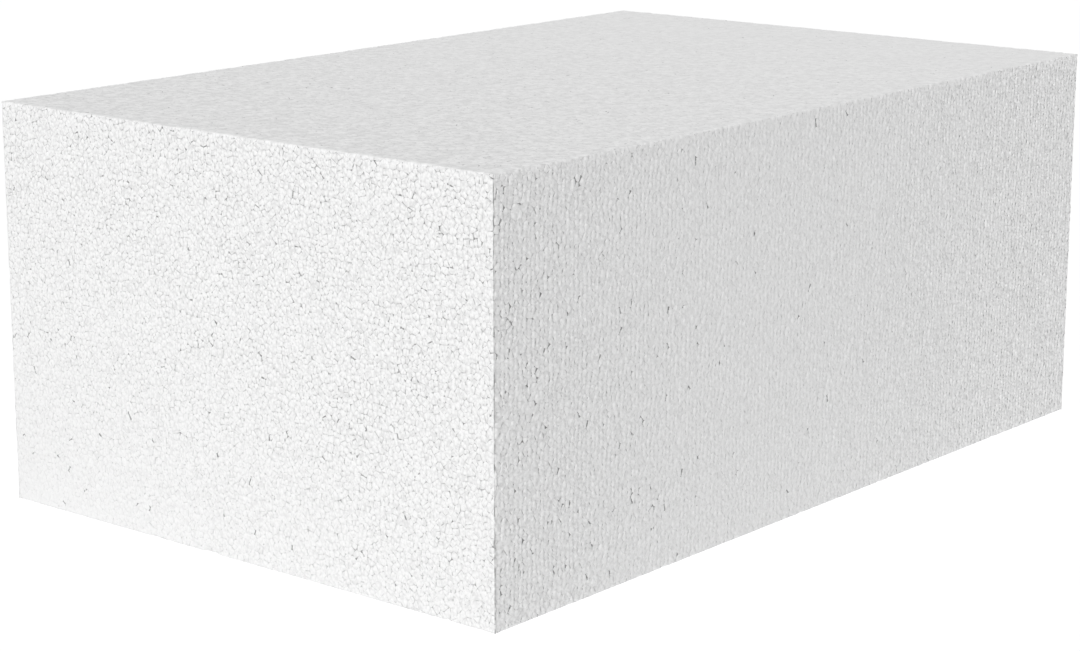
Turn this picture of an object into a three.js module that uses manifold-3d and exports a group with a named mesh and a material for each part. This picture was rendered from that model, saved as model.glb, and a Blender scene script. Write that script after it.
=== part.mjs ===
// Block of white expanded-polystyrene foam, the stiff brick that florists and crafters cut,
// carve and pin into. It is one piece: steam-fused beads, hot-wire cut to size on all six sides.
// Units are millimetres. +X runs along the length, +Y along the width and +Z up; the origin is
// the middle of the underside.
import * as THREE from 'three';
import { ConvexGeometry } from 'three/addons/geometries/ConvexGeometry.js';
import { mergeVertices } from 'three/addons/utils/BufferGeometryUtils.js';
import Module from 'manifold-3d';

// Cut size
const MM_PER_INCH = 25.4;
const LENGTH = 17 * MM_PER_INCH;
const WIDTH = 11 * MM_PER_INCH;
const HEIGHT = 7 * MM_PER_INCH;

// The wire leaves crisp edges, and handling crushes them by a fraction of a bead.
const EDGE_BREAK = 0.5;

// Beads missing from an edge: each leaves a shallow scoop of its own radius.
const BEAD_RADIUS = 1.6;
const SCOOP_DEPTH = 0.9;
const SCOOP_PITCH = 75;
const SCOOP_END_CLEARANCE = 6;
const GOLDEN_FRACTION = (Math.sqrt(5) - 1) / 2;
const BALL_DETAIL = 2;

// One longer chip, a few beads wide, on the bottom edge of the -X end
const CHIP_Y = 17;
const CHIP_RADII = new THREE.Vector3(2.2, 5.2, 1.8);
const CHIP_DEPTH = 1.4;

const FOAM = { color: 0xf4f4f3, roughness: 0.78, metalness: 0 };

const wasm = await Module();
wasm.setup();

function toSolid(geometry) {
  for (const name of ['normal', 'uv']) geometry.deleteAttribute(name);
  const merged = mergeVertices(geometry);
  return new wasm.Manifold(new wasm.Mesh({
    numProp: 3,
    vertProperties: new Float32Array(merged.attributes.position.array),
    triVerts: new Uint32Array(merged.index.array),
  }));
}

function toGeometry(solid) {
  const mesh = solid.getMesh();
  const geometry = new THREE.BufferGeometry();
  geometry.setAttribute('position', new THREE.BufferAttribute(mesh.vertProperties, mesh.numProp));
  geometry.setIndex(new THREE.BufferAttribute(mesh.triVerts, 1));
  geometry.computeVertexNormals();
  return geometry;
}

// A box whose edges and corners are each cut back by a small flat.
function easedBox(size, breakWidth) {
  const half = size.clone().multiplyScalar(0.5);
  const corners = [];
  for (const sx of [-1, 1]) for (const sy of [-1, 1]) for (const sz of [-1, 1]) {
    for (const axis of ['x', 'y', 'z']) {
      const inset = new THREE.Vector3(breakWidth, breakWidth, breakWidth);
      inset[axis] = 0;
      corners.push(half.clone().sub(inset).multiply(new THREE.Vector3(sx, sy, sz)));
    }
  }
  return new ConvexGeometry(corners);
}

// The twelve edges of the block: the middle of each, the axis it runs along and its length.
function blockEdges(size) {
  const axes = ['x', 'y', 'z'];
  const edges = [];
  for (const along of axes) {
    const [first, second] = axes.filter((axis) => axis !== along);
    for (const s1 of [-1, 1]) for (const s2 of [-1, 1]) {
      const middle = new THREE.Vector3();
      middle[first] = s1 * size[first] / 2;
      middle[second] = s2 * size[second] / 2;
      edges.push({ along, middle, length: size[along] });
    }
  }
  return edges;
}

// A ball-shaped cutter that bites the given depth below an edge, measured along its diagonal.
function edgeCutter(edge, distanceAlong, radii, depth) {
  const outward = edge.middle.clone().normalize();
  for (const axis of ['x', 'y', 'z']) outward[axis] = Math.sign(outward[axis]);
  outward[edge.along] = 0;
  outward.normalize();
  const reach = outward.clone().multiply(radii).length();
  const centre = edge.middle.clone().addScaledVector(outward, reach - depth);
  centre[edge.along] += distanceAlong;
  const ball = new THREE.IcosahedronGeometry(1, BALL_DETAIL);
  ball.scale(radii.x, radii.y, radii.z);
  ball.translate(centre.x, centre.y, centre.z);
  return ball;
}

// Scoops stand at golden-section steps, so that no two edges repeat each other.
function scoopPlaces(edges) {
  const places = [];
  for (const edge of edges) {
    const count = Math.round(edge.length / SCOOP_PITCH);
    const span = edge.length - 2 * SCOOP_END_CLEARANCE;
    for (let i = 0; i < count; i += 1) {
      const fraction = ((places.length + 1) * GOLDEN_FRACTION) % 1;
      places.push({ edge, distanceAlong: (fraction - 0.5) * span });
    }
  }
  return places;
}

function foamBlock() {
  const size = new THREE.Vector3(LENGTH, WIDTH, HEIGHT);
  const edges = blockEdges(size);
  let solid = toSolid(easedBox(size, EDGE_BREAK));
  const beadRadii = new THREE.Vector3(BEAD_RADIUS, BEAD_RADIUS, BEAD_RADIUS);
  for (const { edge, distanceAlong } of scoopPlaces(edges)) {
    solid = solid.subtract(toSolid(edgeCutter(edge, distanceAlong, beadRadii, SCOOP_DEPTH)));
  }
  const chippedEdge = edges.find(({ along, middle }) => along === 'y' && middle.x < 0 && middle.z < 0);
  solid = solid.subtract(toSolid(edgeCutter(chippedEdge, CHIP_Y, CHIP_RADII, CHIP_DEPTH)));
  const block = new THREE.Mesh(toGeometry(solid), new THREE.MeshStandardMaterial(FOAM));
  block.name = 'foam_block';
  block.position.z = HEIGHT / 2;
  return block;
}

const brick = new THREE.Group();
brick.add(foamBlock());

export default brick;
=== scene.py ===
# Looks of the white bead-foam floral block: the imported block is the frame, and one closed mesh of
# every bead that the hot wire cut through stands for it. Everything is in metres, +Z up.
import math

import bpy
import numpy as np
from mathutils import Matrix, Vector
from mathutils.geometry import delaunay_2d_cdt


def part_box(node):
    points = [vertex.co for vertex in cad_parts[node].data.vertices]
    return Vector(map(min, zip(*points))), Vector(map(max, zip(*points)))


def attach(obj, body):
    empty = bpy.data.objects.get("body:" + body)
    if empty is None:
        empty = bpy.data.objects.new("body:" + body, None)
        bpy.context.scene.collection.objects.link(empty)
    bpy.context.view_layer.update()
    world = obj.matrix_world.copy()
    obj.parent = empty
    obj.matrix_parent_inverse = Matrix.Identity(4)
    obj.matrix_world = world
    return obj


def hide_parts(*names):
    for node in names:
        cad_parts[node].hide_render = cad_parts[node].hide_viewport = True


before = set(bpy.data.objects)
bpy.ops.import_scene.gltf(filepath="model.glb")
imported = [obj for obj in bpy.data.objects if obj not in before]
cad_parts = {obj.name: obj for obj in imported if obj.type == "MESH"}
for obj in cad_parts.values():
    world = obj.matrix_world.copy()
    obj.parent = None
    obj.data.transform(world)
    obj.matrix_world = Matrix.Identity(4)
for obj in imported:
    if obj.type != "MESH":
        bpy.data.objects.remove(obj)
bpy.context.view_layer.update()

MM = 0.001
TINY = 1e-9
SQUARE_ROOT_3 = math.sqrt(3)
NODE = "foam_block"
LOW, HIGH = (np.array(corner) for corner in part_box(NODE))
HALF = (HIGH - LOW) / 2
MIDDLE = (HIGH + LOW) / 2
FACES = [(axis, side) for axis in range(3) for side in (-1, 1)]

# Beads, as the wire cut them. Three values in a row are for the ends, the long sides, and the top and
# underside.
BEAD_PITCH = 2.85 * MM
BEAD_STRETCH = np.array([
    [1, 1, 1],              # across the ends, beads show as long along every axis
    [1.04, 1, 1.18],        # on the long sides they are taller than wide
    [1, 1, 1],
])
SCATTER = (0.46, 0.33, 0.46)  # how far a bead strays from an even packing, in pitches
MISSING_SHARE = (0.11, 0.05, 0.11)  # places of that packing left to larger neighbours
EXTRA_SHARE = (0.13, 0.05, 0.13)  # small caps of beads that lie deeper, between the others
EDGE_CLEARANCE = 0.45 * MM  # no bead's middle is nearer to an edge of the block
CORNER_CLEARANCE = 2.2 * MM
FOLD_MARGIN = 5 * BEAD_PITCH  # how far over an edge beads still shape the pattern of a face
SAME_PLACE = 1e-7           # in millimetres, the nearest that two beads can be
FACE_KEYS = 10 ** 6         # more junctions than a face has
CORNER_KEYS = 10 ** 15      # more keys than the edges of the block take

# Relief, all measured inwards from the flat faces
SEAM_WIDTH = 0.22 * MM      # from the rim of a bead to the bottom of the seam round it
MOST_INSET = 0.42           # of the way to the bead's middle, on small beads
DOME = 0.05 * MM            # how far a bead falls away from its middle to its rim
LONG_SIDE_DOMES = (1.5, 9.0)  # the same on the long sides, in domes: up and down, and sideways
LEVEL_EDGE_DOMES = 0.3      # of those is left at the level edges, which stay straight
SUNK = 0.02 * MM            # the farthest that a whole bead lies below the face
SUNK_POWER = 1.5            # above 1, most beads lie near the face
LEAN = 0.014                # usual slope of a bead
SEAM_DEPTH = (0.01 * MM, 0.22 * MM)
JUNCTION_DEPTH = (0.04 * MM, 0.34 * MM)
SHALLOW_POWER = 1.3         # above 1, most seams are shallow and a few are deep
GAP_DEPTH = (0.30 * MM, 0.50 * MM)
FACE_RELIEF = np.array([1, 1.2, 0.45])  # the top and the underside are cut cleanest
SMEARED = 0.05              # depth left to level seams on the long sides, where the wire ran upright
JUNCTION_SMEARED = 0.45
SMEAR_POWER = 3
PIT_POWER = 3               # on the ends pits follow the third power of how strongly the pattern shows
PIT_SHARE = 0.018           # junctions of seams that open into a pit
GAP_SHARE = 0.006           # seams that stay open from end to end
LONG_SIDE_SEAMS = 2.0       # times as deep are the upright seams there
LONG_SIDE_GAPS = 12         # and times as many of them stay open
TORN_FADE = 70 * MM         # from the -X end, over which pits and gaps get rarer on the long sides
MARKS_LEAST = 0.64          # of the pattern on the long sides, where it is faintest
MARKS_FAINT_X = -45 * MM
MARKS_REACH = 208 * MM      # from there to where it is stronger by one whole
MARKS_MOST = 1.5
END_MARKS = 1.13            # of the pattern on the ends, at their upper -Y corner
END_FADES = (0.12, 0.25, 0.60)  # of it lost towards +Y, downwards, and where the two meet
TOP_FADE = 0.6              # of it lost at the +X end of the top and the underside
EDGE_BAND = 3.5 * MM        # this near to an upright edge more pits open, and to a level one domes flatten
ARRIS_PIT_SHARE = 0.14
GAP_WIDENING = 1.3          # times as wide are seams beside a pit or a gap
GAP_SHADING = 1.6           # times darker than their depth gives, since little light gets out of them
STEEPEST = 0.85             # of a seam's sides, as depth over width
ROUNDNESS = 1.06            # longest reach of a bead's outline, over its usual reach
EDGE_EASE = 0.22 * MM       # how far in along each face the edges of the block are eased
EDGE_DEPTH = 0.32 * MM      # the deepest that a seam cuts into an edge
EDGE_KEEP = 0.60 * MM       # nearest to an edge that anything not on it comes
EDGE_REACH = 4 * EDGE_KEEP  # what is nearer to an edge than this moves in for that

# Missing beads and the chip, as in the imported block
SCOOP_RADIUS = 1.6 * MM
SCOOP_DEPTH = 0.9 * MM
SCOOP_PITCH = 75 * MM
SCOOP_END_CLEARANCE = 6 * MM
CHIP_Y = 17 * MM
CHIP_RADII = (2.2 * MM, 5.2 * MM, 1.8 * MM)
CHIP_DEPTH = 1.4 * MM

# Skin. Shades are how much of the bead's own white is left; scales are per metre.
BEAD_WHITE = 0.924
TONE_STEP = 0.0045          # usual spread of whites from bead to bead
MARKS_PAINTED_LIGHTENING = 21        # of those steps where the pattern is twice as strong: painted light that evens out the shade its relief gives
# Painted shade in the seams: the deeper a seam, the darker it is coloured.
SEAM_PAINTED_SHADES = ((0, 1), (0.16, 0.77), (0.42, 0.48), (1, 0.22))
BREAK_SCALE = 760           # of the crumbs that bridge seams here and there
BREAK_SHARES = ((0.41, 0.15), (0.58, 1))  # of a seam's painted shade that they leave
CRUMB_SCALE = (880, 880, 760)
# Crumbs are coloured partly by their own mottle and partly by painted shade: white in their middles,
# darker where they meet.
CRUMB_TONE_AND_SHADES = ((0.36, 1), (0.86, 0.81))
CRUMB_HEIGHT = 0.14 * MM
LONG_SIDE_SMOOTHED = 0.55   # of the crumbs, worn off by the wire
TOP_SMOOTHED = 0.80
SHEEN_SCALE = 300           # of a painted sheen on the top and the underside
# The painted sheen is darker than the bead white on the whole, so it also darkens the top and the
# underside as painted shade.
SHEEN_SHADES = ((0.3, 0.885), (0.7, 1.06))
STREAK_SCALE = (350, 1, 460)  # of the short ridges that the wire left on the long sides
STREAK_LEAN = math.radians(-9)  # off upright, towards +X at their upper ends
STREAK_SCATTER = 0.85
STREAK_SHARE = 4.5          # of streaks in the height that crumbs give the skin
GRAIN_SCALE = 2600
GRAIN_SHARE = 0.25          # of the grain in the height that crumbs give the skin
ARRIS_LINE = (0.40 * MM, 0.68 * MM)  # the dark line on upright edges is full to here, and gone from there
ARRIS_WAVER_SCALE = 260
ARRIS_SHADES = ((0.36, 0.34), (0.62, 0.78))
ROUGHNESS = (0.62, 0.85)
SPECULAR = 0.35
NODE_SPACING = (220, -260)  # in the shader editor

# Studio
SKY_STRENGTH = 0.40
KEY_AZIMUTH = -78
KEY_ELEVATION = 51.5
KEY_STRENGTH = 1.765
KEY_SPREAD = 12
LAMP_DISTANCE = 3           # a sun shines alike from any distance
FLOOR_SIZE = 12
FLOOR_GAP = 0.2 * MM
FLOOR_GREY = 0.5
FLOOR_GLOW = 0.81
WALL_HEIGHT = 4
WALL_SIDES = 48

# Camera
SENSOR_WIDTH = 36
LENS = 91.9
VIEW_BEARING = 39.88
VIEW_DROP = 13.24
VIEW_DISTANCE = 1.284
VIEW_AIM = (-9 * MM, 11 * MM, -28 * MM)

SEED = 20417
rng = np.random.default_rng(SEED)


# ---------------------------------------------------------------- the pattern of beads

def plane_axes(axis):
    """The two axes across a face whose normal is the given axis, in right-handed order."""
    return [(axis + 1) % 3, (axis + 2) % 3]


def beads_on_face(axis, side):
    """Middles of the beads that show on one face: a loose packing with some left out and some added."""
    across = plane_axes(axis)
    half = HALF[across]
    pitch = BEAD_PITCH * BEAD_STRETCH[axis][across]
    steps = pitch * [1, SQUARE_ROOT_3 / 2]
    column, row = (grid.ravel() for grid in np.meshgrid(*map(np.arange, np.ceil(2 * half / steps) + 2)))
    flat = np.stack([column - row % 2 / 2, row], axis=1) * steps - half
    angle = rng.uniform(0, 2 * math.pi, len(flat))
    reach = SCATTER[axis] * np.sqrt(rng.random(len(flat)))
    flat += np.stack([np.cos(angle), np.sin(angle)], axis=1) * reach[:, None] * pitch
    flat = flat[rng.random(len(flat)) > MISSING_SHARE[axis]]
    extra = rng.uniform(-1, 1, (int(EXTRA_SHARE[axis] * len(flat)), 2)) * half
    flat = np.concatenate([flat, extra])
    to_edge = half - np.abs(flat)
    clear = (to_edge.min(axis=1) > EDGE_CLEARANCE) & (np.hypot(*to_edge.T) > CORNER_CLEARANCE)
    beads = np.full((clear.sum(), 3), side * HALF[axis])
    beads[:, across] = flat[clear]
    return beads


def folded_flat(beads, axis, side):
    """Where beads lie once the faces around are folded out flat with one face, and which are near it."""
    below = HALF[axis] - side * beads[:, axis]
    flat = beads[:, plane_axes(axis)]
    beyond = np.abs(flat) > HALF[plane_axes(axis)] - EDGE_CLEARANCE / 2
    return flat + np.sign(flat) * below[:, None] * beyond, below < FOLD_MARGIN


def circumcentres(corners):
    """The middle of the circle through the three corners of each triangle."""
    b, c = corners[:, 1] - corners[:, 0], corners[:, 2] - corners[:, 0]
    bb, cc = (b ** 2).sum(axis=1), (c ** 2).sum(axis=1)
    turn = 2 * (b[:, 0] * c[:, 1] - b[:, 1] * c[:, 0])
    across = np.stack([c[:, 1] * bb - b[:, 1] * cc, b[:, 0] * cc - c[:, 0] * bb], axis=1)
    return corners[:, 0] + across / turn[:, None]


def seams_on_face(flat, half):
    """Seams between neighbouring beads, clipped to the face: the two beads, the two ends, and for each
    end which junction of the pattern it is, or -1 - n where the seam runs over edge n of the face."""
    given = [Vector(p) for p in flat / MM]
    _, _, triangles, original, _, _ = delaunay_2d_cdt(given, [], [], 0, SAME_PLACE)
    origin = np.array([o[0] for o in original])
    triangles = origin[np.array(triangles)]
    centres = circumcentres(flat[triangles])
    sides = np.concatenate([triangles[:, [0, 1]], triangles[:, [1, 2]], triangles[:, [2, 0]]])
    sides.sort(axis=1)
    owner = np.tile(np.arange(len(triangles)), 3)
    order = np.lexsort((sides[:, 1], sides[:, 0]))
    sides, owner = sides[order], owner[order]
    twins = np.flatnonzero((sides[1:] == sides[:-1]).all(axis=1))
    beads = sides[twins]
    junctions = np.stack([owner[twins], owner[twins + 1]], axis=1)
    start, run = centres[junctions[:, 0]], centres[junctions[:, 1]] - centres[junctions[:, 0]]
    enter, leave = np.zeros(len(run)), np.ones(len(run))
    for edge, (k, sign) in enumerate(((0, -1), (0, 1), (1, -1), (1, 1))):
        speed = sign * run[:, k]
        time = (half[k] - sign * start[:, k]) / speed
        later = (speed < 0) & (time > enter)
        sooner = (speed > 0) & (time < leave)
        enter[later], junctions[later, 0] = time[later], -1 - edge
        leave[sooner], junctions[sooner, 1] = time[sooner], -1 - edge
    inside = enter < leave
    ends = start[:, None] + run[:, None] * np.stack([enter, leave], axis=1)[:, :, None]
    return beads[inside], ends[inside], junctions[inside]


def touching(places):
    """For each place, which of the block's faces it lies on: -1, 0 or 1 along each axis."""
    return np.sign(places) * (np.abs(places) > HALF - TINY)


def torn(x):
    """How torn the long sides are: fully at the -X end, and less and less away from it."""
    return np.exp(-(HALF[0] + x) / TORN_FADE)


def marked(places):
    """How strongly the pattern of beads shows: on the long sides least somewhat before the middle and
    most at the +X end, on the ends least in the lower +Y corner, and on the top least at the +X end."""
    long_side = np.minimum(MARKS_LEAST + ((places[:, 0] - MARKS_FAINT_X) / MARKS_REACH) ** 2, MARKS_MOST)
    away, far, up = ((1 + places / HALF) / 2).T
    end = END_MARKS - END_FADES[0] * far - (END_FADES[1] + END_FADES[2] * far) * (1 - up) ** 2
    limits = touching(places)
    return np.where(limits[:, 1] != 0, long_side, np.where(limits[:, 0] != 0, end, 1 - TOP_FADE * away))


def seams_with_keys(beads, face):
    """Seams on one face: their two beads, their two ends, and a key for each end.

    An end on an edge of the block has the same key on both faces that meet there."""
    axis, side = FACES[face]
    across = plane_axes(axis)
    folded, near = folded_flat(beads, axis, side)
    nearby = np.flatnonzero(near)
    pairs, ends, junctions = seams_on_face(folded[nearby], HALF[across])
    pairs = np.sort(nearby[pairs], axis=1)
    key = junctions + face * FACE_KEYS
    for edge, neighbour in enumerate((k, sign) for k in across for sign in (-1, 1)):
        seam, end = np.nonzero(junctions == -1 - edge)
        faces_met = sorted((face, FACES.index(neighbour)))
        block_edge = faces_met[0] * len(FACES) + faces_met[1]
        key[seam, end] = -1 - (block_edge * len(beads) + pairs[seam, 0]) * len(beads) - pairs[seam, 1]
        ends[seam, end, across.index(neighbour[0])] = neighbour[1] * HALF[neighbour[0]]
    return pairs, ends, key


def open_ends(ends, key, axis):
    """Keys of the ends of those seams on one face that stay open from end to end."""
    chance = np.full(len(ends), GAP_SHARE)
    if axis == 1:
        run = np.abs(ends[:, 1] - ends[:, 0])
        upright = run[:, 0] / np.linalg.norm(run, axis=1)
        chance *= LONG_SIDE_GAPS * upright ** SMEAR_POWER * torn(ends[:, 0, 1])
    return key[rng.random(len(key)) < chance].ravel()


def bead_pattern():
    """Every corner of every bead outline on the six faces, in order round each outline.

    Outlines that fold over an edge of the block share their crossing points, so the sheet is closed."""
    corners = np.array([[x, y, z] for x in (-1, 1) for y in (-1, 1) for z in (-1, 1)]) * HALF
    beads = np.concatenate([corners] + [beads_on_face(axis, side) for axis, side in FACES])
    rows = {name: [] for name in ("bead", "key", "face", "place", "flat")}
    gaps = []
    for face, (axis, side) in enumerate(FACES):
        across = plane_axes(axis)
        pairs, ends, key = seams_with_keys(beads, face)
        gaps.append(open_ends(ends, key, axis))
        own_corners = np.flatnonzero(corners[:, axis] * side > 0)
        flat = np.concatenate([ends.reshape(-1, 2)] * 2 + [corners[own_corners][:, across]])
        place = np.full((len(flat), 3), side * HALF[axis])
        place[:, across] = flat
        rows["bead"].append(np.concatenate([np.repeat(pairs.T.ravel(), 2), own_corners]))
        rows["key"].append(np.concatenate([key.ravel()] * 2 + [-CORNER_KEYS - own_corners]))
        rows["face"].append(np.full(len(flat), face))
        rows["place"].append(place)
        rows["flat"].append(flat * [side, 1])
    bead, key, face, place, flat = (np.concatenate(rows[name]) for name in rows)
    keys, first, junction = np.unique(key, return_index=True, return_inverse=True)
    is_gap = np.isin(keys, np.concatenate(gaps))
    outline = face * len(beads) + bead
    _, kept = np.unique(outline * len(keys) + junction, return_index=True)
    bead, junction, outline, flat = bead[kept], junction[kept], outline[kept], flat[kept]
    outline = np.unique(outline, return_inverse=True)[1]
    arm = flat - mean_by(outline, flat, outline[-1] + 1)[outline]
    order = np.lexsort((np.arctan2(arm[:, 1], arm[:, 0]), outline))
    return beads, bead[order], junction[order], outline[order], place[first], is_gap


def mean_by(group, values, count):
    """The mean of the values that belong to each group."""
    sizes = np.maximum(np.bincount(group, minlength=count), 1)
    return np.stack([np.bincount(group, v, minlength=count) / sizes for v in values.T], axis=1)


def uneven(limits, count):
    """Depths between two limits, of which most lie near the first."""
    return limits[0] + (limits[1] - limits[0]) * rng.random(count) ** SHALLOW_POWER


def following_corners(outline):
    """For each corner, the next one round its outline; and for each outline, its first corner."""
    following = np.arange(len(outline)) + 1
    last = np.flatnonzero(np.append(outline[1:] != outline[:-1], True))
    first = np.concatenate([[0], last[:-1] + 1])
    following[last] = first
    return following, first


def pits(junctions):
    """Which junctions open into a pit: more of them along upright edges and where the sides are torn."""
    near_edge = (HALF[:2] - np.abs(junctions[:, :2])).max(axis=1) < EDGE_BAND
    chance = np.where(near_edge, ARRIS_PIT_SHARE, PIT_SHARE)
    on_long_side = touching(junctions)[:, 1] != 0
    chance *= np.where(on_long_side, torn(junctions[:, 0]), marked(junctions) ** PIT_POWER)
    return rng.random(len(junctions)) < chance


def bead_rims(junctions, junction, outline, following, is_gap):
    """Rims of the beads, corner by corner, set in from their outlines to leave room for the seams.

    Also gives the middles of the outlines, the room left, how far sideways of its bead each corner is,
    and which sides of the outlines fold over an edge of the block."""
    corner, next_corner = junctions[junction], junctions[junction[following]]
    limits = touching(junctions)
    same = (limits[junction] == limits[junction[following]]) & (limits[junction] != 0)
    folds = same.sum(axis=1) >= 2
    middles = mean_by(outline, corner, outline[-1] + 1)
    arm, side = corner - middles[outline], next_corner - corner
    reach = np.linalg.norm(arm, axis=1)

    twice_area = np.bincount(outline, np.linalg.norm(np.cross(arm, side), axis=1))
    inradius = (twice_area / np.bincount(outline, np.linalg.norm(side, axis=1)))[outline]
    width = SEAM_WIDTH * np.where(is_gap[junction], GAP_WIDENING, 1)
    inset = np.minimum(width / inradius, MOST_INSET)
    usual = (np.bincount(outline, reach) / np.bincount(outline))[outline]
    kept = (1 - inset) * np.minimum(1, ROUNDNESS * usual / reach)
    rim = middles[outline] + arm * kept[:, None]

    # On an edge of the block a rim stays on that edge, and at a corner of the block it doesn't move.
    along = np.zeros_like(corner)
    along[folds] = side[folds]
    along[following[folds]] -= side[folds]
    meets = np.abs(limits).sum(axis=1)[junction]
    on_edge, at_corner = meets == 2, meets == 3
    length = np.linalg.norm(along[on_edge], axis=1)
    share = np.minimum(width[on_edge] / length, MOST_INSET)
    rim[on_edge] = corner[on_edge] + along[on_edge] * share[:, None]
    rim[at_corner] = corner[at_corner]
    return rim, middles, inset * inradius, np.abs(arm[:, 0]) / reach, folds


def dome_depth(rims, sideways):
    """How far the beads fall away to their rims."""
    low, high = LONG_SIDE_DOMES
    from_level_edge = (HALF[2] - np.abs(rims[:, 2])) / EDGE_BAND
    long_side = (low + (high - low) * sideways ** 2) * np.clip(from_level_edge, LEVEL_EDGE_DOMES, 1)
    return DOME * np.where(touching(rims)[:, 1] == 0, 1, long_side) * marked(rims)


def seam_depths(junctions, halfway, ends, is_gap):
    """How deep the seams are where they meet and halfway along, and which of them are open.

    They are deepest where they meet, smeared shut where they run level on the long sides, and deep all
    along where they are open."""
    where_met = uneven(JUNCTION_DEPTH, len(junctions)) * marked(junctions)
    where_met[touching(junctions)[:, 1] != 0] *= JUNCTION_SMEARED
    where_met[is_gap] = rng.uniform(*GAP_DEPTH, is_gap.sum())
    between = uneven(SEAM_DEPTH, len(halfway)) * marked(halfway)
    is_open = is_gap[ends[0]] & is_gap[ends[1]]
    between[is_open] = rng.uniform(*GAP_DEPTH, is_open.sum())
    run = np.abs(junctions[ends[1]] - junctions[ends[0]])
    upright = run[:, 2] / np.maximum(np.linalg.norm(run, axis=1), TINY)
    left = SMEARED + (LONG_SIDE_SEAMS - SMEARED) * upright ** SMEAR_POWER
    between *= np.where(touching(halfway)[:, 1] == 0, 1, left)
    return where_met, between, is_open


def bead_surface():
    """Vertices, faces and the looks attributes of the closed sheet of beads: painted shade for the seams,
    bead tones with a painted lightening, and how strongly the pattern shows.
    """
    beads, bead, junction, outline, junctions, is_gap = bead_pattern()
    following, first = following_corners(outline)
    is_gap |= pits(junctions)
    rim, middles, room, sideways, folds = bead_rims(junctions, junction, outline, following, is_gap)
    _, rim_first, rim_index = np.unique(bead * len(junctions) + junction,
                                        return_index=True, return_inverse=True)
    rims, rim_bead, bead_of_outline = rim[rim_first], bead[rim_first], bead[first]
    ends = np.sort(np.stack([junction, junction[following]], axis=1), axis=1)
    seams, seam_index = np.unique(ends @ [len(junctions), 1], return_inverse=True)
    seam_ends = np.divmod(seams, len(junctions))
    halfway = (junctions[seam_ends[0]] + junctions[seam_ends[1]]) / 2

    sunk = SUNK * rng.random(len(beads)) ** SUNK_POWER
    lean = rng.normal(0, LEAN, beads.shape)
    tone = rng.normal(0, 1, len(beads))

    def lean_of(places, index):
        return ((places - beads[index]) * lean[index]).sum(axis=1)

    rim_depth = dome_depth(rims, sideways[rim_first]) + sunk[rim_bead] + lean_of(rims, rim_bead)
    junction_depth, halfway_depth, is_open = seam_depths(junctions, halfway, seam_ends, is_gap)

    # A seam lies below the rims of the beads beside it, and has a tone between theirs.
    beside = np.stack([rim_depth[rim_index], rim_depth[rim_index[following]]])
    at_junction = mean_by(junction, np.stack([beside[0], tone[bead]], axis=1), len(junctions))
    at_halfway = mean_by(seam_index, np.stack([beside.mean(axis=0), tone[bead]], axis=1), len(seams))
    depth = np.concatenate([
        at_junction[:, 0] + np.minimum(junction_depth, STEEPEST * room_beside(junction, room)),
        at_halfway[:, 0] + np.minimum(halfway_depth, STEEPEST * room_beside(seam_index, room)),
        rim_depth,
        sunk[bead_of_outline] + lean_of(middles, bead_of_outline),
    ])
    # Painted shade: how dark each seam is coloured, from its depth, and darker still in pits and open
    # gaps.
    seam = np.concatenate([
        junction_depth * np.where(is_gap, GAP_SHADING, 1),
        halfway_depth * np.where(is_open, GAP_SHADING, 1),
        np.zeros(len(rims) + len(middles)),
    ]) / GAP_DEPTH[1]
    tones_and_painted_light = np.concatenate([at_junction[:, 1], at_halfway[:, 1], tone[rim_bead], tone[bead_of_outline]])
    places = np.concatenate([junctions, halfway, rims, middles])
    limits, marks = touching(places), marked(places)
    # Painted light: beads on the ends and long sides are lightened where the pattern shows more strongly,
    # to offset the shade of its relief.
    tones_and_painted_light += MARKS_PAINTED_LIGHTENING * (marks - 1) * (limits[:, 2] == 0)
    relief = np.where(limits == 0, 1, FACE_RELIEF).min(axis=1)
    places = pressed_in(places, depth * relief)

    halfway_index = seam_index + len(junctions)
    rim_index += len(junctions) + len(seams)
    middle_index = outline + len(junctions) + len(seams) + len(rims)
    next_junction, next_rim = junction[following], rim_index[following]
    across_seam = np.concatenate([
        np.stack(corners, axis=1)[~folds] for corners in (
            (rim_index, junction, halfway_index),
            (rim_index, halfway_index, next_rim),
            (next_rim, halfway_index, next_junction))])
    triangles = np.concatenate([np.stack([middle_index, rim_index, next_rim], axis=1), across_seam])
    return places, triangles, {"seam": seam * relief, "tone": tones_and_painted_light, "marks": marks}


def room_beside(index, width):
    """The least width that any bead leaves beside each junction or seam."""
    room = np.full(index.max() + 1, np.inf)
    np.minimum.at(room, index, width)
    return room


def pressed_in(places, depth):
    """Moves each place in from the faces that it lies on, and keeps what is near an edge clear of it."""
    limits = touching(places)
    on_edge = (limits != 0).sum(axis=1) > 1
    room = HALF - np.abs(places)
    kept_room = np.where((limits == 0) & (room < EDGE_REACH), np.hypot(room, EDGE_KEEP), room)
    places = np.where(places < 0, -1, 1) * (HALF - kept_room)
    nearest = np.where(limits == 0, kept_room, np.inf).min(axis=1)
    depth = np.clip(depth, 0, np.where(on_edge, EDGE_DEPTH, EDGE_EASE + STEEPEST * nearest))
    depth += EDGE_EASE * on_edge
    return places - limits * depth[:, None]


def block_edges():
    """The twelve edges of the block: the axis each runs along, and its middle."""
    for along in range(3):
        first, second = (axis for axis in range(3) if axis != along)
        for s1 in (-1, 1):
            for s2 in (-1, 1):
                middle = np.zeros(3)
                middle[first], middle[second] = s1 * HALF[first], s2 * HALF[second]
                yield along, middle


def scoop(places, along, middle, distance, radii, depth):
    """Presses what is inside a ball on an edge of the block back to the ball's far side."""
    outward = np.sign(middle)
    outward /= np.linalg.norm(outward)
    centre = middle + outward * (np.linalg.norm(outward * radii) - depth)
    centre[along] += distance
    q = (places - centre) / radii
    inside = (q ** 2).sum(axis=1) < 1
    d, q = outward / radii, q[inside]
    along_d, dd = q @ d, d @ d
    travel = (along_d + np.sqrt(along_d ** 2 - dd * ((q ** 2).sum(axis=1) - 1))) / dd
    places[inside] -= travel[:, None] * outward


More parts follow.
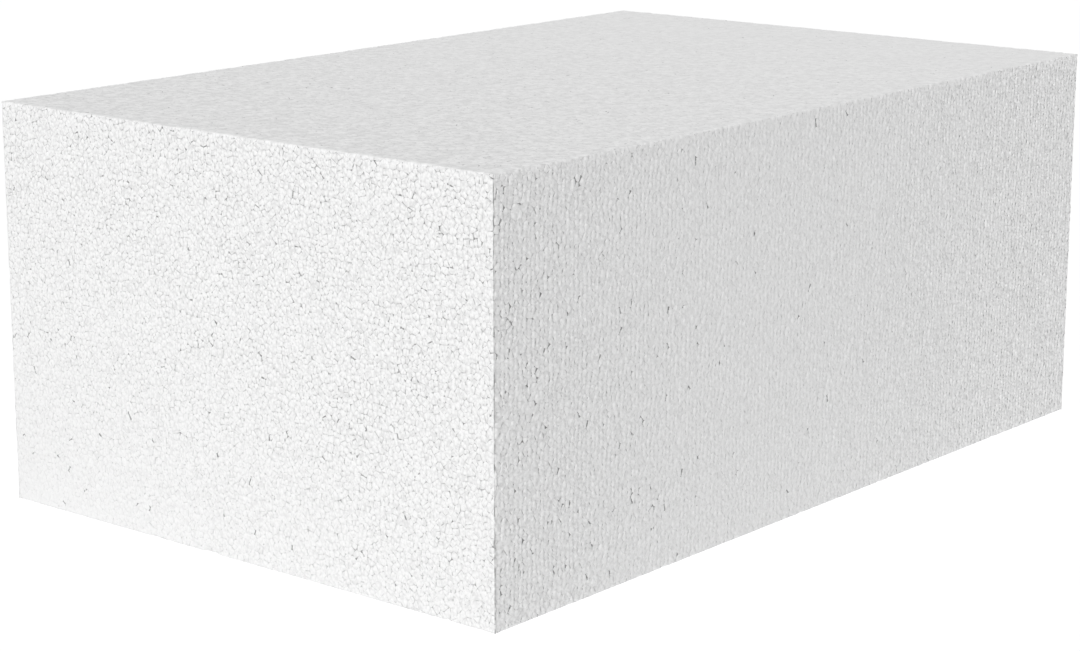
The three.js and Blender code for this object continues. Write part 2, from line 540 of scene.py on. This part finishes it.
def knock_beads_out(places):
    """The missing beads along the edges and the chip on the bottom edge of the -X end."""
    golden = (math.sqrt(5) - 1) / 2
    made = 0
    for along, middle in block_edges():
        for _ in range(round(2 * HALF[along] / SCOOP_PITCH)):
            made += 1
            distance = (made * golden % 1 - 0.5) * 2 * (HALF[along] - SCOOP_END_CLEARANCE)
            scoop(places, along, middle, distance, np.full(3, SCOOP_RADIUS), SCOOP_DEPTH)
    chipped = np.array([-HALF[0], 0, -HALF[2]])
    scoop(places, 1, chipped, CHIP_Y, np.array(CHIP_RADII), CHIP_DEPTH)


def mesh_from(name, places, triangles):
    """A mesh of the given triangles, with the vertices that none of them uses left out."""
    used, loops = np.unique(triangles.ravel(), return_inverse=True)
    mesh = bpy.data.meshes.new(name)
    mesh.vertices.add(len(used))
    mesh.vertices.foreach_set("co", (places[used] + MIDDLE).astype(np.float32).ravel())
    mesh.loops.add(len(loops))
    mesh.loops.foreach_set("vertex_index", loops.astype(np.int32))
    mesh.polygons.add(len(triangles))
    mesh.polygons.foreach_set("loop_start", np.arange(0, len(loops), 3, dtype=np.int32))
    mesh.update(calc_edges=True)
    mesh.shade_smooth()
    return mesh, used


def build_beads():
    """The block as one mesh of beads, with the values that its material reads."""
    places, triangles, attributes = bead_surface()
    knock_beads_out(places)
    mesh, used = mesh_from("foam_block_beads", places, triangles)
    for name, values in attributes.items():
        layer = mesh.attributes.new(name, "FLOAT", "POINT")
        layer.data.foreach_set("value", values[used].astype(np.float32))
    block = bpy.data.objects.new("foam_block_beads", mesh)
    bpy.context.scene.collection.objects.link(block)
    return block


# ---------------------------------------------------------------- material

def node(tree, kind, place, **values):
    """A shader node at a grid place, with its settings and the values on its sockets."""
    made = tree.nodes.new(kind)
    made.location = (place[0] * NODE_SPACING[0], place[1] * NODE_SPACING[1])
    for name, value in values.items():
        if name in made.inputs:
            made.inputs[name].default_value = value
        else:
            setattr(made, name, value)
    return made


def shades(tree, place, stops, value):
    """A ramp of greys through the stops, each a position and a grey, driven by a value socket."""
    made = node(tree, "ShaderNodeValToRGB", place)
    elements = made.color_ramp.elements
    for _ in range(len(stops) - len(elements)):
        elements.new(1)
    for element, (position, grey) in zip(elements, stops):
        element.position = position
        element.color = (grey, grey, grey, 1)
    tree.links.new(value, made.inputs["Fac"])
    return made.outputs["Color"]


def sums(tree, place, operation, *terms):
    """A Math node on the given sockets or numbers."""
    made = node(tree, "ShaderNodeMath", place, operation=operation)
    for socket, term in zip(made.inputs, terms):
        if isinstance(term, bpy.types.NodeSocket):
            tree.links.new(term, socket)
        else:
            socket.default_value = term
    return made.outputs[0]


def multiplied(tree, place, first, second):
    """Two colours multiplied."""
    made = node(tree, "ShaderNodeMix", place, data_type="RGBA", blend_type="MULTIPLY")
    made.inputs[0].default_value = 1
    tree.links.new(first, made.inputs[6])
    tree.links.new(second, made.inputs[7])
    return made.outputs[2]


def attribute(tree, place, name):
    """A value that each vertex of the mesh holds."""
    return node(tree, "ShaderNodeAttribute", place, attribute_name=name).outputs["Fac"]


def texture(tree, kind, place, where, **values):
    """A texture or mapping node on the given coordinates."""
    made = node(tree, kind, place, **values)
    tree.links.new(where, made.inputs["Vector"])
    return made


def faded(tree, place, share, shade):
    """A share of a shade, and the rest white."""
    made = node(tree, "ShaderNodeMix", place, data_type="RGBA")
    made.inputs[6].default_value = (1, 1, 1, 1)
    tree.links.new(share, made.inputs[0])
    tree.links.new(shade, made.inputs[7])
    return made.outputs[2]


def arris_shade(tree, where):
    """A thin dark line down each upright edge, broken up by noise."""
    axes = texture(tree, "ShaderNodeSeparateXYZ", (1, 9), where)
    inward = []
    for k in (0, 1):
        reach = sums(tree, (2, 9 + k), "ABSOLUTE", axes.outputs[k])
        inward.append(sums(tree, (3, 9 + k), "SUBTRACT", float(HALF[k]), reach))
    farther = sums(tree, (4, 9), "MAXIMUM", *inward)
    line = node(tree, "ShaderNodeMapRange", (5, 9), interpolation_type="SMOOTHSTEP",
                **{"From Min": ARRIS_LINE[0], "From Max": ARRIS_LINE[1], "To Min": 1.0, "To Max": 0.0})
    tree.links.new(farther, line.inputs["Value"])
    waver = texture(tree, "ShaderNodeTexNoise", (4, 10), where, Scale=ARRIS_WAVER_SCALE, Detail=2.0)
    broken = shades(tree, (5, 10), ARRIS_SHADES, waver.outputs["Fac"])
    return faded(tree, (6, 9), line.outputs["Result"], broken)


def facing_shares(tree):
    """How far the surface faces along Y, as the long sides do, and along Z, as the top does."""
    facing = node(tree, "ShaderNodeSeparateXYZ", (1, 5))
    tree.links.new(node(tree, "ShaderNodeNewGeometry", (0, 5)).outputs["Normal"], facing.inputs["Vector"])
    return [sums(tree, (2, 4 + k), "ABSOLUTE", facing.outputs[k]) for k in (1, 2)]


def streak_height(tree, where, long_side, marks):
    """Short ridges that the wire left on the long sides."""
    stretched = texture(tree, "ShaderNodeMapping", (1, 4), where,
                        Scale=STREAK_SCALE, Rotation=(math.pi / 2, 0, STREAK_LEAN))
    streaks = texture(tree, "ShaderNodeTexVoronoi", (2, 3), stretched.outputs["Vector"],
                      voronoi_dimensions="2D", Scale=1.0, Randomness=STREAK_SCATTER)
    height = sums(tree, (3, 4), "MULTIPLY", streaks.outputs["Distance"], long_side)
    return sums(tree, (4, 4), "MULTIPLY", height, sums(tree, (3, 3), "MINIMUM", marks, 1))


def bead_colour(tree, where, crumbs, crumbly, sheen_share):
    """Bead whites with a painted lightening where the pattern is strong, mottled by crumbs partly as
    painted shade, with a painted sheen and shade on the top and the underside, painted shade in the seams,
    and a dark line down the upright edges.
    """
    # The bead tones carry a painted lightening where the pattern shows strongly.
    skin = sums(tree, (4, 0), "MULTIPLY_ADD", attribute(tree, (3, 0), "tone"), TONE_STEP, BEAD_WHITE)
    # Partly painted shade: crumbs are coloured darker where they meet than in their middles.
    crumb_tone_and_shade = shades(tree, (4, 1), CRUMB_TONE_AND_SHADES, crumbs.outputs["Distance"])
    # Painted sheen on the top and the underside, which on the whole also darkens them as painted shade.
    sheen_noise = texture(tree, "ShaderNodeTexNoise", (3, 7), where, Scale=SHEEN_SCALE, Detail=1.0)
    sheen_shades = shades(tree, (4, 7), SHEEN_SHADES, sheen_noise.outputs["Fac"])
    bridges = texture(tree, "ShaderNodeTexNoise", (2, 8), where, Scale=BREAK_SCALE, Detail=1.0)
    bridged = shades(tree, (3, 8), BREAK_SHARES, bridges.outputs["Fac"])
    # Painted shade in the seams, from their depth, left out here and there where crumbs bridge them.
    seam = sums(tree, (4, 8), "MULTIPLY", attribute(tree, (1, 8), "seam"), bridged)
    colour = multiplied(tree, (6, 0), skin, faded(tree, (5, 1), crumbly, crumb_tone_and_shade))
    colour = multiplied(tree, (7, 0), colour, faded(tree, (5, 7), sheen_share, sheen_shades))
    colour = multiplied(tree, (8, 0), colour, shades(tree, (5, 8), SEAM_PAINTED_SHADES, seam))
    return multiplied(tree, (9, 0), colour, arris_shade(tree, where))


def bead_foam():
    """White polystyrene: matt bead skins, mottled by crumbs of foam partly as painted shade, with painted
    shade in the seams and a painted sheen on the top and the underside.
    """
    material = bpy.data.materials.new("bead_foam")
    material.use_nodes = True
    tree = material.node_tree
    tree.nodes.clear()
    link = tree.links.new
    where = node(tree, "ShaderNodeTexCoord", (0, 0)).outputs["Object"]
    marks = attribute(tree, (1, 6), "marks")
    long_side, level = facing_shares(tree)

    # Crumbs are lumps of a few foam cells each, which stand slightly proud and catch the light through the
    # bump. Their colour is also lighter in their middles and darker where they meet, partly their own
    # mottle and partly painted shade.
    stretched = texture(tree, "ShaderNodeMapping", (1, 1), where, Scale=CRUMB_SCALE)
    crumbs = texture(tree, "ShaderNodeTexVoronoi", (2, 1), stretched.outputs["Vector"], Scale=1.0)
    crumbly = sums(tree, (3, 5), "MULTIPLY_ADD", level, -TOP_SMOOTHED, 1)
    crumbly = sums(tree, (4, 5), "MULTIPLY_ADD", long_side, -LONG_SIDE_SMOOTHED, crumbly)
    crumbly = sums(tree, (5, 5), "MULTIPLY", crumbly, marks)
    # Share of the painted sheen and shade: on faces that look up or down, less towards +X on the top.
    sheen_share = sums(tree, (3, 6), "MULTIPLY", level, marks)

    grain = texture(tree, "ShaderNodeTexVoronoi", (2, 2), where, Scale=GRAIN_SCALE)
    fall = sums(tree, (6, 2), "MULTIPLY", crumbs.outputs["Distance"], crumbly)
    fall = sums(tree, (7, 2), "MULTIPLY_ADD", grain.outputs["Distance"], GRAIN_SHARE, fall)
    streaks = streak_height(tree, where, long_side, marks)
    fall = sums(tree, (8, 2), "MULTIPLY_ADD", streaks, STREAK_SHARE, fall)
    bump = node(tree, "ShaderNodeBump", (9, 2), invert=True, Strength=1.0, Distance=CRUMB_HEIGHT)
    link(fall, bump.inputs["Height"])
    rough = node(tree, "ShaderNodeMapRange", (9, 1), **{"To Min": ROUGHNESS[0], "To Max": ROUGHNESS[1]})
    link(grain.outputs["Distance"], rough.inputs["Value"])

    shader = node(tree, "ShaderNodeBsdfPrincipled", (10, 0), **{"Specular IOR Level": SPECULAR})
    link(bead_colour(tree, where, crumbs, crumbly, sheen_share), shader.inputs["Base Color"])
    link(rough.outputs["Result"], shader.inputs["Roughness"])
    link(bump.outputs["Normal"], shader.inputs["Normal"])
    output = node(tree, "ShaderNodeOutputMaterial", (11, 0))
    link(shader.outputs["BSDF"], output.inputs["Surface"])
    return material


# ---------------------------------------------------------------- studio and camera

def sun(name, from_azimuth, elevation, strength, spread):
    """A soft distant light. Azimuth 0 shines from -Y, and 90 from +X."""
    light = bpy.data.lights.new(name, "SUN")
    light.energy = strength
    light.angle = math.radians(spread)
    lamp = bpy.data.objects.new(name, light)
    a, e = math.radians(from_azimuth), math.radians(elevation)
    towards = Vector((math.sin(a) * math.cos(e), -math.cos(a) * math.cos(e), math.sin(e)))
    lamp.rotation_euler = towards.to_track_quat("Z", "Y").to_euler()
    lamp.location = towards * LAMP_DISTANCE
    bpy.context.scene.collection.objects.link(lamp)
    return lamp


def studio(block):
    """White all round, with one soft key from the -X end that lights the block alone, so none of it
    falls as a shadow on the floor. The wall only closes the view and lights nothing."""
    world = bpy.data.worlds.new("studio")
    world.use_nodes = True
    background = world.node_tree.nodes["Background"]
    background.inputs["Color"].default_value = (1, 1, 1, 1)
    background.inputs["Strength"].default_value = SKY_STRENGTH
    bpy.context.scene.world = world
    key = sun("key", KEY_AZIMUTH, KEY_ELEVATION, KEY_STRENGTH, KEY_SPREAD)
    lit = bpy.data.collections.new("lit_by_key")
    lit.objects.link(block)
    key.light_linking.receiver_collection = lit

    reach = FLOOR_SIZE / 2
    corners = [(-reach, -reach, 0), (reach, -reach, 0), (reach, reach, 0), (-reach, reach, 0)]
    backdrop_sheet("floor", corners, [(0, 1, 2, 3)], FLOOR_GREY, FLOOR_GLOW)
    turns = [2 * math.pi * k / WALL_SIDES for k in range(WALL_SIDES)]
    ring = [(reach * math.cos(turn), reach * math.sin(turn)) for turn in turns]
    following = [(k + 1) % WALL_SIDES for k in range(WALL_SIDES)]
    panels = [(k, after, after + WALL_SIDES, k + WALL_SIDES) for k, after in enumerate(following)]
    wall = backdrop_sheet("wall", [(x, y, z) for z in (0, WALL_HEIGHT) for x, y in ring], panels, 0, 1)
    wall.visible_diffuse = wall.visible_glossy = wall.visible_transmission = wall.visible_shadow = False


def backdrop_sheet(name, corners, faces, grey, glow):
    """A plain sheet at the height that the block stands on, lit partly by its own glow."""
    mesh = bpy.data.meshes.new(name)
    mesh.from_pydata(corners, [], faces)
    sheet = bpy.data.objects.new(name, mesh)
    sheet.location.z = LOW[2] - FLOOR_GAP
    paper = bpy.data.materials.new(name + "_paper")
    paper.use_nodes = True
    shader = paper.node_tree.nodes["Principled BSDF"]
    shader.inputs["Base Color"].default_value = (grey, grey, grey, 1)
    shader.inputs["Roughness"].default_value = 1.0
    shader.inputs["Specular IOR Level"].default_value = 0.0
    shader.inputs["Emission Color"].default_value = (1, 1, 1, 1)
    shader.inputs["Emission Strength"].default_value = glow
    mesh.materials.append(paper)
    bpy.context.scene.collection.objects.link(sheet)
    return sheet


def camera():
    """Eye-level three-quarter view onto the edge between the -X end and the -Y side."""
    data = bpy.data.cameras.new("camera")
    data.sensor_width = SENSOR_WIDTH
    data.lens = LENS
    eye = bpy.data.objects.new("camera", data)
    bearing, drop = math.radians(VIEW_BEARING), math.radians(VIEW_DROP)
    level = math.cos(drop)
    looking = Vector((math.cos(bearing) * level, math.sin(bearing) * level, -math.sin(drop)))
    eye.location = Vector(MIDDLE) + Vector(VIEW_AIM) - looking * VIEW_DISTANCE
    eye.rotation_euler = looking.to_track_quat("-Z", "Y").to_euler()
    bpy.context.scene.collection.objects.link(eye)
    bpy.context.scene.camera = eye


bpy.context.scene.view_settings.view_transform = "Standard"
camera()
block = build_beads()
studio(block)
block.data.materials.append(bead_foam())
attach(block, "root")
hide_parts(NODE)
